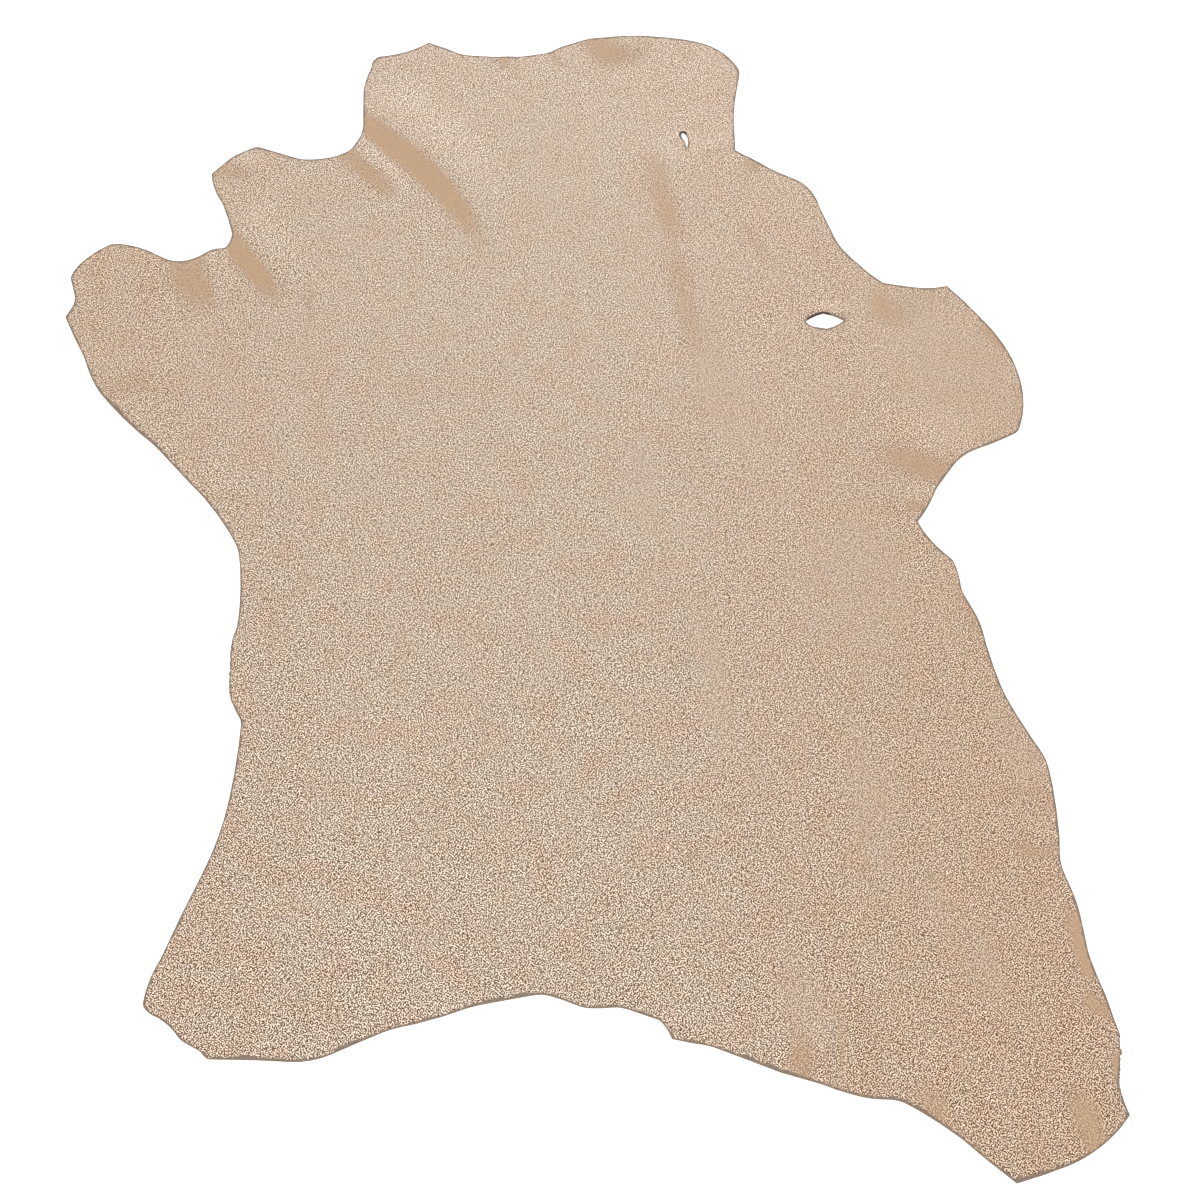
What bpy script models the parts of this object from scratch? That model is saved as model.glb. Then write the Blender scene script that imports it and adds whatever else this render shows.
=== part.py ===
"""A small leather hide, laid out on a floor with its grain side up.

The skin is one sheet of leather, trimmed by knife to the animal's shape: the neck at the back (+Y), a
foreleg to each side of it, the two hind legs at the front (-Y) and the tail edge between them. It lies
flat on z = 0, apart from soft ripples that start at the notches and rims and die out in the middle. Two
flaws go right through it: an eye-shaped slit near the right shoulder and a curled nick in the neck.

The origin is under the middle of the hide, on the floor. +X is to the right with the neck away.
"""

import math
from collections import namedtuple
from itertools import combinations

import bmesh
import bpy
from mathutils import Vector

MM = 0.001

# ---------------------------------------------------------------------------
# Driving dimensions
# ---------------------------------------------------------------------------

HIDE_WIDTH = 838            # mm, across both forelegs and the right hind foot
HIDE_LENGTH = 995           # mm, from the neck to the right hind foot
LEATHER_THICKNESS = 1.2     # mm

STROKE_TOLERANCE = 0.2      # mm, how far a straight chord may leave a curved stroke
FOLD_TOLERANCE = 0.3        # mm, how far a flat cell may leave a fold
CELL = 26                   # mm, the sheet's cells where it lies flat
HALVINGS = 2                # how many times a cell is halved to follow a fold
FOLD_NARROWING = 0.4        # share of its width that a fold loses by its far end
FOLD_RUN_ON = 20            # mm, how far a fold that starts at the rim runs on past it
CUTTER_DEPTH = 60           # mm, above and below the floor
SLIVER = 0.1                # mm, edges shorter than this are closed up

LEATHER_COLOUR = (0.571, 0.445, 0.337, 1.0)
LEATHER_METALLIC = 0.6
LEATHER_ROUGHNESS = 0.45

# ---------------------------------------------------------------------------
# The trimmed outline
# ---------------------------------------------------------------------------
# A row is one stroke of the trimming knife. It ends at (end_x, end_y), in mm from the hide's middle, and
# at half way it stands bow mm to the left of the straight line, or to the right where bow is negative.
# The strokes run clockwise as seen from above, so left is out of the hide. Each starts where the one
# before it ends.

Stroke = namedtuple("Stroke", "end_x end_y bow")

OUTLINE = {
    "neck, left side": (
        (-177, 441, 0), (-171, 465, 1), (-165, 477, 2),
    ),
    "neck, back": (
        (-121, 492, -3), (-91, 479, 0.5), (-45, 476, 0), (-14, 481, 0),
        (20, 495, 1.5), (73, 498, -1), (119, 492, 1.5), (154, 462, 5),
    ),
    "neck, right side": (
        (147, 421, 0), (148, 380, 0),
    ),
    "right shoulder": (
        (203, 349, -1.5), (219, 323, 3), (234, 285, 0), (270, 248, -1), (324, 246, -3.5),
    ),
    "right foreleg": (
        (371, 185, 2.5), (381, 133, 3.5), (375, 109, 1), (326, 86, 0.5), (305, 58, 0), (288, 28, 1.5),
    ),
    "right flank": (
        (315, -6, -2.5), (320, -33, 1), (333, -59, 0), (348, -119, -1), (378, -174, -1),
        (382, -258, 2.5), (392, -285, 0), (398, -330, 0), (417, -389, 0.5),
        (413, -427, 0), (419, -448, -1),
    ),
    "right hind foot": (
        (373, -484, 4), (333, -497, 0.5),
    ),
    "inside of the right hind leg": (
        (294, -465, 0), (251, -437, -1), (224, -436, 0),
    ),
    "tail edge": (
        (164, -417, 0), (112, -397, 0), (84, -392, 0.5), (75, -378, -1), (46, -368, 0),
        (19, -369, 0.5), (-12, -358, -0.5), (-66, -368, 0), (-126, -385, 1.5), (-183, -410, 0),
    ),
    "left hind foot": (
        (-260, -407, -0.5), (-266, -401, 0.5), (-281, -393, 0), (-299, -376, -1.5), (-311, -367, 1.5),
    ),
    "left flank": (
        (-300, -332, 2), (-273, -266, 0.5), (-256, -207, -2), (-250, -143, -1), (-261, -120, 1),
        (-262, -78, 0.5), (-258, -63, 0.5), (-261, 4, -2), (-291, 48, -1.5), (-335, 96, 0),
        (-386, 147, 2),
    ),
    "left foreleg": (
        (-400, 178, 1), (-419, 216, 0.5), (-411, 231, 0), (-418, 254, 0), (-406, 272, 1.5),
        (-385, 287, 1), (-344, 275, 3), (-310, 272, -4.5), (-288, 283, 1), (-283, 295, -1),
    ),
    "left shoulder": (
        (-294, 328, -0.5), (-305, 356, 2), (-287, 373, 0), (-267, 384, 1), (-229, 371, 0),
        (-185, 379, -3), (-175, 398, 0),
    ),
}

# The flaws that go through the leather. Left is again out, here out of the hole.
SLIT = (
    (218, 219, 1), (236, 213, 1), (221, 205, 1), (209, 207, 0), (203, 212, 0.5),
)
NICK = (
    (103, 398, 1), (107, 391, 1), (106, 381, 0.5), (103, 388, -0.5), (99, 394, 0),
)

# ---------------------------------------------------------------------------
# The folds
# ---------------------------------------------------------------------------
# A row is one ripple. Its crest runs from (start_x, start_y) to (end_x, end_y), in mm from the hide's
# middle, with the bow of a stroke. width is the ripple's foot at the start and height its crest there. A
# ripple with from_rim True is highest at its start and dies out at its end. The others rise and die out
# again.

Fold = namedtuple("Fold", "name start_x start_y end_x end_y bow width height from_rim")

FOLDS = (
    Fold("neck notch, long", -176, 428, -54, 270, 16, 42, 7.0, True),
    Fold("neck notch, short", -185, 387, -128, 326, 3, 30, 4.0, True),
    Fold("neck rim", 48, 498, 74, 450, 0, 38, 3.5, True),
    Fold("neck rim, small", -2, 490, -4, 458, 0, 22, 2.0, True),
    Fold("neck centre", 86, 392, 147, 174, -5, 38, 2.5, False),
    Fold("left shoulder tip", -306, 366, -248, 364, 1, 24, 2.5, True),
    Fold("left foreleg notch, right", -283, 303, -226, 225, 2, 42, 6.5, True),
    Fold("left foreleg notch, left", -307, 277, -280, 212, -2, 38, 5.0, True),
    Fold("left foreleg root", -396, 165, -285, 149, 7, 42, 4.0, True),
    Fold("left flank", -292, 51, -200, 64, 4, 26, 2.5, True),
    Fold("right shoulder notch", 282, 250, 270, 150, 0, 42, 4.0, True),
    Fold("right foreleg rim", 326, 253, 381, 165, 5, 42, 3.5, False),
    Fold("right foreleg notch", 338, 93, 240, 108, -1, 44, 6.0, True),
    Fold("right flank, top", 297, 36, 238, 44, 1, 44, 2.5, True),
    Fold("right flank rim", 322, -9, 339, -95, -1, 28, 2.0, False),
    Fold("right flank rim, lower", 385, -184, 387, -231, 1, 28, 2.0, False),
    Fold("right flank, across", 386, -241, 348, -244, -1, 28, 2.5, True),
    Fold("hind leg rim", 395, -282, 411, -360, -1, 34, 3.5, False),
    Fold("hind leg, across", 413, -362, 374, -360, 0, 28, 3.0, True),
    Fold("hind leg rim, lower", 419, -386, 417, -442, -1, 24, 2.0, False),
    Fold("hind foot, right", 404, -464, 352, -396, -6, 46, 5.5, True),
    Fold("hind foot, left", 362, -489, 314, -410, -3, 40, 3.5, True),
    Fold("inside of the hind leg", 296, -467, 277, -405, -2, 48, 4.0, True),
    Fold("tail edge", 189, -425, 207, -335, -3, 60, 5.5, True),
    Fold("lip of the slit", 196, 217, 242, 217, 3, 24, 4.0, False),
)

# ---------------------------------------------------------------------------
# Outline
# ---------------------------------------------------------------------------


def stroke_points(start, stroke):
    """Return the points of one stroke after its start, close enough together for its bow."""
    end = Vector((stroke.end_x, stroke.end_y))
    chord = end - start
    left = Vector((-chord.y, chord.x)).normalized()
    steps = max(1, math.ceil(math.sqrt(abs(stroke.bow) / STROKE_TOLERANCE)))
    points = []
    for step in range(1, steps + 1):
        t = step / steps
        points.append(start + chord * t + left * (4 * stroke.bow * t * (1 - t)))
    return points


def loop_points(rows):
    """Return the closed loop of points that a table of strokes describes."""
    strokes = [Stroke(*row) for row in rows]
    start = Vector((strokes[-1].end_x, strokes[-1].end_y))
    points = []
    for stroke in strokes:
        points.extend(stroke_points(start, stroke))
        start = points[-1]
    return points


def add_loop(curve, points):
    """Add one closed loop of straight segments to a flat curve."""
    spline = curve.splines.new("POLY")
    spline.points.add(len(points) - 1)
    for target, point in zip(spline.points, points):
        target.co = (point.x * MM, point.y * MM, 0, 1)
    spline.use_cyclic_u = True


def make_outline_cutter(collection):
    """Make the prism that trims the sheet: the outline, with the flaws left out of it."""
    curve = bpy.data.curves.new("outline", "CURVE")
    curve.dimensions = "2D"
    curve.fill_mode = "BOTH"
    curve.extrude = CUTTER_DEPTH * MM
    outline_rows = [row for rows in OUTLINE.values() for row in rows]
    for rows in (outline_rows, SLIT, NICK):
        add_loop(curve, loop_points(rows))
    curve_object = bpy.data.objects.new("outline", curve)
    collection.objects.link(curve_object)

    evaluated = curve_object.evaluated_get(bpy.context.evaluated_depsgraph_get())
    mesh = bpy.data.meshes.new_from_object(evaluated)
    bm = bmesh.new()
    bm.from_mesh(mesh)
    bmesh.ops.remove_doubles(bm, verts=bm.verts, dist=0.01 * MM)
    bmesh.ops.recalc_face_normals(bm, faces=bm.faces)
    bm.to_mesh(mesh)
    bm.free()
    cutter = bpy.data.objects.new("outline_cutter", mesh)
    cutter.matrix_world = curve_object.matrix_world
    bpy.data.objects.remove(curve_object)
    collection.objects.link(cutter)
    cutter.hide_render = True
    cutter.display_type = "WIRE"
    return cutter


# ---------------------------------------------------------------------------
# Folds
# ---------------------------------------------------------------------------


def bell(distance, reach):
    """Return a smooth hump: 1 where distance is 0, and 0 from reach outwards."""
    if abs(distance) >= reach:
        return 0
    return (1 + math.cos(math.pi * distance / reach)) / 2


def fold_height(fold, x, y):
    """Return how far one fold lifts the leather at a point, in mm."""
    start = Vector((fold.start_x, fold.start_y))
    run = Vector((fold.end_x, fold.end_y)) - start
    length = run.length
    direction = run / length
    left = Vector((-direction.y, direction.x))
    offset = Vector((x, y)) - start
    along = offset.dot(direction)
    t = along / length
    if fold.from_rim:
        fade = bell(along, length if along > 0 else FOLD_RUN_ON)
    else:
        fade = bell(along - length / 2, length / 2)
    if fade == 0:
        return 0
    across = offset.dot(left) - 4 * fold.bow * t * (1 - t)
    half_width = fold.width / 2 * (1 - FOLD_NARROWING * max(t, 0))
    return fold.height * fade * bell(across, half_width)


def lift(point):
    """Return the height of the underside above the floor at a point of the sheet, in metres."""
    return MM * sum(fold_height(fold, point.x / MM, point.y / MM) for fold in FOLDS)


def misses_fold(face):
    """Say whether a flat cell would leave the folded surface by more than the tolerance."""
    corners = [vert.co for vert in face.verts]
    centre = face.calc_center_median()
    spans = list(combinations(corners, 2)) + [(centre, corner) for corner in corners]
    for first, second in spans:
        straight = (lift(first) + lift(second)) / 2
        if abs(lift((first + second) / 2) - straight) > FOLD_TOLERANCE * MM:
            return True
    return False


# ---------------------------------------------------------------------------
# Sheet
# ---------------------------------------------------------------------------


def make_material():
    """Make the metallic finish of the grain side."""
    material = bpy.data.materials.new("foiled_leather")
    material.use_nodes = True
    shader = material.node_tree.nodes["Principled BSDF"]
    shader.inputs["Base Color"].default_value = LEATHER_COLOUR
    shader.inputs["Metallic"].default_value = LEATHER_METALLIC
    shader.inputs["Roughness"].default_value = LEATHER_ROUGHNESS
    return material


def make_underside():
    """Make the open underside, larger than the hide: a grid, finer and lifted where there are folds."""
    columns = math.ceil(HIDE_WIDTH / CELL) + 1
    rows = math.ceil(HIDE_LENGTH / CELL) + 1
    bm = bmesh.new()
    bmesh.ops.create_grid(bm, x_segments=columns, y_segments=rows, size=0.5)
    bmesh.ops.scale(bm, vec=(columns * CELL * MM, rows * CELL * MM, 1), verts=bm.verts)
    for _ in range(HALVINGS):
        edges = {edge for face in bm.faces if misses_fold(face) for edge in face.edges}
        bmesh.ops.subdivide_edges(bm, edges=list(edges), cuts=1, use_grid_fill=True)
    bmesh.ops.triangulate(bm, faces=bm.faces)
    for vert in bm.verts:
        vert.co.z = lift(vert.co)
    mesh = bpy.data.meshes.new("hide")
    bm.to_mesh(mesh)
    bm.free()
    return mesh


def make_hide(collection, cutter):
    """Make the hide: the folded sheet at its thickness, trimmed to the outline."""
    hide = bpy.data.objects.new("hide", make_underside())
    collection.objects.link(hide)
    hide.data.materials.append(make_material())

    leather = hide.modifiers.new("leather", "SOLIDIFY")
    leather.thickness = LEATHER_THICKNESS * MM
    leather.offset = 1
    leather.use_even_offset = True

    trim = hide.modifiers.new("trim", "BOOLEAN")
    trim.operation = "INTERSECT"
    trim.solver = "EXACT"
    trim.object = cutter

    tidy = hide.modifiers.new("close_slivers", "WELD")
    tidy.merge_threshold = SLIVER * MM
    return hide


def new_collection(name):
    """Add a collection to the scene."""
    collection = bpy.data.collections.new(name)
    bpy.context.scene.collection.children.link(collection)
    return collection


def main():
    """Build the hide in an empty scene."""
    for old in list(bpy.data.objects):
        bpy.data.objects.remove(old)
    cutter = make_outline_cutter(new_collection("cutters"))
    make_hide(new_collection("leather_hide"), cutter)


main()
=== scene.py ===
import math
import random
from collections import namedtuple

import bmesh
import bpy
import numpy as np
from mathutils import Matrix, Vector
from mathutils.kdtree import KDTree


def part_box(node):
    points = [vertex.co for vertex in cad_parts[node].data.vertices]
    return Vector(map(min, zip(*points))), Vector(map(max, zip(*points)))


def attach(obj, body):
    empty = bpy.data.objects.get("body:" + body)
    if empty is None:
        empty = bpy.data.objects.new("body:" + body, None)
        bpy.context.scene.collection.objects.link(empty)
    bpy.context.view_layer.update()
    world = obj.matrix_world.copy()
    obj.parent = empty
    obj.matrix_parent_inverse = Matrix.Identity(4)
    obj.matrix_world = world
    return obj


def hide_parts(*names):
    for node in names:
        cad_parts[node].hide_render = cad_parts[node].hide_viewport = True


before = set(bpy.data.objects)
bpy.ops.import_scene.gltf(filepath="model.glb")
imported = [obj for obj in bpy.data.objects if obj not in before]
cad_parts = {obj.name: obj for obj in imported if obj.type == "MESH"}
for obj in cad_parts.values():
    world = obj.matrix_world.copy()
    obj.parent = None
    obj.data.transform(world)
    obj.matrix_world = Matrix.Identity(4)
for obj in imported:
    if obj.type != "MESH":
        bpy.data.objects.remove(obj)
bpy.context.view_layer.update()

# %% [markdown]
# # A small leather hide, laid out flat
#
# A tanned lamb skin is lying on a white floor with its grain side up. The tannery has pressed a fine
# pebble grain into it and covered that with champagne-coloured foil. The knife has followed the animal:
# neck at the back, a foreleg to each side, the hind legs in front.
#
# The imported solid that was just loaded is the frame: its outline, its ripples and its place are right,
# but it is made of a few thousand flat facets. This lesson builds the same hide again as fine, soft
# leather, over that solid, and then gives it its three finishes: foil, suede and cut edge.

MM = 0.001
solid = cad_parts["hide"]
low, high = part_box("hide")
print("solid:", len(solid.data.polygons), "facets,", [round(side / MM, 1) for side in high - low], "mm")

# %% [markdown]
# ## The camera
#
# Somebody stands at the tail end and looks down at the skin from head height, a little off its middle.
# A tilt of 22 degrees from straight down leaves the neck slightly smaller than the hind foot, which is
# what makes a flat thing read as lying on a floor.

# %% Camera
CAMERA_TILT = math.radians(22)
CAMERA_DISTANCE = 1.847
LOOK_AT = Vector((0.0306, -0.0399, 0))
LENS_MM = 69.26
SENSOR_MM = 36


def make_camera():
    """Stand the camera at the tail end, looking down at the middle of the hide."""
    data = bpy.data.cameras.new("camera")
    data.lens = LENS_MM
    data.sensor_width = SENSOR_MM
    camera = bpy.data.objects.new("camera", data)
    bpy.context.scene.collection.objects.link(camera)
    back = Vector((0, -math.sin(CAMERA_TILT), math.cos(CAMERA_TILT)))
    camera.location = LOOK_AT + CAMERA_DISTANCE * back
    camera.rotation_euler = (CAMERA_TILT, 0, 0)
    bpy.context.scene.camera = camera
    return camera


camera = make_camera()
print("camera at", [round(value, 3) for value in camera.location])

# %% [markdown]
# ## Floor and light
#
# The floor is a white light table, as skins are sorted on: it glows a little, so the thin shadows under
# the rims drown in it. Foil shows what it reflects, so the light decides how it looks. A bright, even
# room keeps it soft. One broad panel stands low beyond the neck end: it glances off the far side of
# every pebble and puts a glint there. A second one at the tail end only fills, so that the near half of
# the hide is as bright as the far half.

# %% Floor
FLOOR_SIDE = 12
FLOOR_DROP = 0.1 * MM
FLOOR_COLOUR = (0.93, 0.93, 0.93, 1)
FLOOR_ROUGHNESS = 0.9
FLOOR_GLOW = 0.4


def make_floor_white():
    """Make the finish of the floor: matt white that glows a little."""
    material = bpy.data.materials.new("white_floor")
    material.use_nodes = True
    shader = material.node_tree.nodes["Principled BSDF"]
    shader.inputs["Base Color"].default_value = FLOOR_COLOUR
    shader.inputs["Roughness"].default_value = FLOOR_ROUGHNESS
    shader.inputs["Emission Strength"].default_value = FLOOR_GLOW
    return material


def make_floor():
    """Lay a white floor just under the hide."""
    bm = bmesh.new()
    bmesh.ops.create_grid(bm, x_segments=1, y_segments=1, size=FLOOR_SIDE / 2)
    bmesh.ops.translate(bm, verts=bm.verts, vec=(0, 0, -FLOOR_DROP))
    mesh = bpy.data.meshes.new("floor")
    bm.to_mesh(mesh)
    bm.free()
    floor = bpy.data.objects.new("floor", mesh)
    bpy.context.scene.collection.objects.link(floor)
    mesh.materials.append(make_floor_white())
    return floor


floor = make_floor()
print("floor:", FLOOR_SIDE, "m across")

# %% Light
ROOM_COLOUR = (1, 1, 1, 1)
ROOM_STRENGTH = 0.61
Panel = namedtuple("Panel", "name x y z size watts")
PANELS = (
    Panel("key_panel", 0.5, 4.4, 2.6, 2.2, 130),
    Panel("fill_panel", -0.5, -2.8, 3.8, 2.2, 104),
)


def make_light():
    """Light the room evenly and hang the panels, each turned towards the hide."""
    world = bpy.data.worlds.new("room")
    world.use_nodes = True
    background = world.node_tree.nodes["Background"]
    background.inputs["Color"].default_value = ROOM_COLOUR
    background.inputs["Strength"].default_value = ROOM_STRENGTH
    bpy.context.scene.world = world
    for panel in PANELS:
        data = bpy.data.lights.new(panel.name, "AREA")
        data.shape = "SQUARE"
        data.size = panel.size
        data.energy = panel.watts
        light = bpy.data.objects.new(panel.name, data)
        light.location = (panel.x, panel.y, panel.z)
        light.rotation_euler = (-light.location).to_track_quat("-Z", "Y").to_euler()
        bpy.context.scene.collection.objects.link(light)
    bpy.context.scene.view_settings.view_transform = "Standard"


make_light()
print("light:", ", ".join(panel.name for panel in PANELS))

# %% [markdown]
# ## The trimmed outline
#
# The outline could be drawn again, but the solid already has it, with both flaws that go through the
# leather. So its underside is copied, pressed flat and extruded into a tall prism: a cutter like a
# tailor's knife that cuts any sheet to the same shape.
#
# Three things are too small for the solid and are put into the cutter here. Where the knife changed its
# direction only a little, it went round the corner in a curve. On two stretches it went through loose
# flank and left a frayed edge. And at the small nick in the neck a flap of leather still closes most of
# the hole, which leaves only a thin crescent open.

# %% Outline cutter
CUTTER_DEPTH = 60 * MM
SAME_POINT = 0.001 * MM
CLOSE_POINTS = 0.3 * MM
FLAT_ENOUGH = 0.5
STRAIGHT_ENOUGH = math.radians(0.5)


def press_underside(bm):
    """Keep only the underside of the solid, flat and with as few points as its outline needs."""
    bmesh.ops.remove_doubles(bm, verts=bm.verts, dist=SAME_POINT)
    bm.normal_update()
    others = [face for face in bm.faces if face.normal.z > -FLAT_ENOUGH]
    bmesh.ops.delete(bm, geom=others, context="FACES")
    for vert in bm.verts:
        vert.co.z = -CUTTER_DEPTH
    bmesh.ops.remove_doubles(bm, verts=bm.verts, dist=CLOSE_POINTS)
    bm.normal_update()
    bmesh.ops.dissolve_limit(bm, angle_limit=STRAIGHT_ENOUGH, verts=bm.verts, edges=bm.edges)


def near(point, spot):
    """Say whether a point, in metres, lies within a spot, which is in mm."""
    return math.hypot(point.x / MM - spot.x, point.y / MM - spot.y) < spot.radius


# %% Soft corners
Spot = namedtuple("Spot", "x y radius")
SLIT, NICK = Spot(220, 212, 24), Spot(103, 390, 13)
LEAST_TURN, MOST_TURN = math.radians(6), math.radians(50)
LONGEST_REACH = 18 * MM     # how far a curve may start from its corner
SHARE_OF_SIDE = 0.45        # and which share of a side it may take
DEEPEST_CUT = 2 * MM        # how much may be lost or gained at the corner itself


def find_soft_corners(bm):
    """Return each corner to be rounded, with how far the curve reaches along its two sides."""
    corners = []
    for vert in bm.verts:
        sides = [edge for edge in vert.link_edges if edge.is_boundary]
        if near(vert.co, SLIT) or near(vert.co, NICK) or len(sides) != 2:
            continue
        inside = (sides[0].other_vert(vert).co - vert.co).angle(sides[1].other_vert(vert).co - vert.co)
        if LEAST_TURN < math.pi - inside < MOST_TURN:
            shorter = min(edge.calc_length() for edge in sides)
            reach = min(LONGEST_REACH, SHARE_OF_SIDE * shorter, 2 * DEEPEST_CUT / math.cos(inside / 2))
            corners.append((vert, reach))
    return corners


def on_curve(start, tip, end, share):
    """Return a point of the curve that replaces a corner, at a share of the way along it."""
    return (1 - share) ** 2 * start + 2 * share * (1 - share) * tip + share**2 * end


def soften_corners(bm):
    """Bend the outline round its gentle corners, each in a curve of four short cuts."""
    for corner, reach in find_soft_corners(bm):
        tip = corner.co.copy()
        halfway, ends = [], []
        for edge in [item for item in corner.link_edges if item.is_boundary]:
            nearer, end = bmesh.utils.edge_split(edge, corner, reach / edge.calc_length())
            halfway.append(bmesh.utils.edge_split(nearer, corner, 0.5)[1])
            ends.append(end.co.copy())
        for vert, share in ((halfway[0], 0.25), (corner, 0.5), (halfway[1], 0.75)):
            vert.co = on_curve(ends[0], tip, ends[1], share)


# %% Frayed edges and the flap of the nick
FRAYED_STRETCHES = (Spot(-261, -94, 34), Spot(413, -412, 26))
FRAY_STEP = 1.4 * MM
FRAY_DEPTH = 0.45 * MM
TAG = Spot(416, -401, 3)
TAG_LENGTH = 1.3 * MM
FLAP = Spot(99, 389, 7)
FLAP_REACH = 1.6 * MM
FRAY_SEED = 5


def fray(bm):
    """Break the straight cuts on the frayed stretches into short uneven ones."""
    chance = random.Random(FRAY_SEED)
    for spot in FRAYED_STRETCHES:
        for edge in [item for item in bm.edges if item.is_boundary]:
            middle = (edge.verts[0].co + edge.verts[1].co) / 2
            cuts = int(edge.calc_length() / FRAY_STEP)
            if not near(middle, spot) or cuts < 1:
                continue
            face = edge.link_faces[0]
            outwards = (edge.verts[1].co - edge.verts[0].co).cross(Vector((0, 0, 1))).normalized()
            if outwards.dot(face.calc_center_median() - middle) > 0:
                outwards = -outwards
            for item in bmesh.ops.bisect_edges(bm, edges=[edge], cuts=cuts)["geom_split"]:
                if isinstance(item, bmesh.types.BMVert):
                    item.co += outwards * chance.uniform(-FRAY_DEPTH, FRAY_DEPTH)
                    if near(item.co, TAG):
                        item.co += outwards * TAG_LENGTH


def make_outline_cutter():
    """Turn the underside of the solid into a tall prism with the hide's outline."""
    bm = bmesh.new()
    bm.from_mesh(solid.data)
    press_underside(bm)
    soften_corners(bm)
    fray(bm)
    for vert in bm.verts:
        if near(vert.co, FLAP):
            vert.co.x += FLAP_REACH
    extruded = bmesh.ops.extrude_face_region(bm, geom=bm.faces[:], use_keep_orig=True)["geom"]
    lifted = [item for item in extruded if isinstance(item, bmesh.types.BMVert)]
    bmesh.ops.translate(bm, verts=lifted, vec=(0, 0, 2 * CUTTER_DEPTH))
    bmesh.ops.recalc_face_normals(bm, faces=bm.faces)
    mesh = bpy.data.meshes.new("outline_cutter")
    bm.to_mesh(mesh)
    bm.free()
    cutter = bpy.data.objects.new("outline_cutter", mesh)
    bpy.context.scene.collection.objects.link(cutter)
    return cutter


cutter = make_outline_cutter()
print("cutter:", len(cutter.data.polygons), "faces")

# %% [markdown]
# ## A fine flat sheet
#
# Leather bends softly, so its mesh needs many small cells where the solid has a few large ones. A grid
# of even squares shades cleanly and bends well. It is halved again, twice, only round the two flaws,
# where the leather curls within a few millimetres. Then it gets its thickness and is cut to shape while
# it is still flat, because a cut through flat cells is quick and clean.

# %% Flat sheet
UNIT_SIDE = 1
CELL = 4.4 * MM
SPARE_CELLS = 2
THICKNESS = 1.2 * MM
TINY_EDGE = 0.08 * MM
HALVINGS = 2


def make_grid(columns, rows):
    """Make the grid of cells, finer round the flaws."""
    bm = bmesh.new()
    bmesh.ops.create_grid(bm, x_segments=columns, y_segments=rows, size=UNIT_SIDE / 2)
    bmesh.ops.scale(bm, vec=(columns * CELL, rows * CELL, 1), verts=bm.verts)
    for _ in range(HALVINGS):
        middles = [(face, face.calc_center_median()) for face in bm.faces]
        fine = {face for face, middle in middles if near(middle, SLIT) or near(middle, NICK)}
        edges = [edge for edge in bm.edges if not fine.isdisjoint(edge.link_faces)]
        bmesh.ops.subdivide_edges(bm, edges=edges, cuts=1, use_grid_fill=True)
    mesh = bpy.data.meshes.new("leather_sheet")
    bm.to_mesh(mesh)
    bm.free()
    return mesh


def make_flat_sheet():
    """Make the sheet as a thin flat slab of small cells, cut to the outline."""
    columns = math.ceil(solid.dimensions.x / CELL) + SPARE_CELLS
    rows = math.ceil(solid.dimensions.y / CELL) + SPARE_CELLS
    slab = bpy.data.objects.new("slab", make_grid(columns, rows))
    bpy.context.scene.collection.objects.link(slab)
    skin = slab.modifiers.new("thickness", "SOLIDIFY")
    skin.thickness = THICKNESS
    skin.offset = 1
    trim = slab.modifiers.new("trim", "BOOLEAN")
    trim.operation = "INTERSECT"
    trim.solver = "EXACT"
    trim.object = cutter
    weld = slab.modifiers.new("close_slivers", "WELD")
    weld.merge_threshold = TINY_EDGE
    evaluated = slab.evaluated_get(bpy.context.evaluated_depsgraph_get())
    trimmed = bpy.data.meshes.new_from_object(evaluated)
    bpy.data.objects.remove(slab)
    return trimmed


sheet_mesh = make_flat_sheet()
bpy.data.objects.remove(cutter)
print("flat sheet:", len(sheet_mesh.polygons), "faces")

# %% [markdown]
# ## The ripples
#
# A skin that was dried on a frame never lies quite flat. It stays up in soft ripples that begin at the
# notches between neck and legs and fade towards the middle. Each ripple is one row of a table, in mm: a
# crest line with a bow, how far it slopes down to its left and to its right, and how high its crest is.
# Most have one steep and one gentle side. The last column says that a ripple is full height at the rim;
# the others are free, and fade at both ends. The rows follow the ripples of the solid to within a few
# millimetres, so the leather stays where the solid is.

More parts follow.
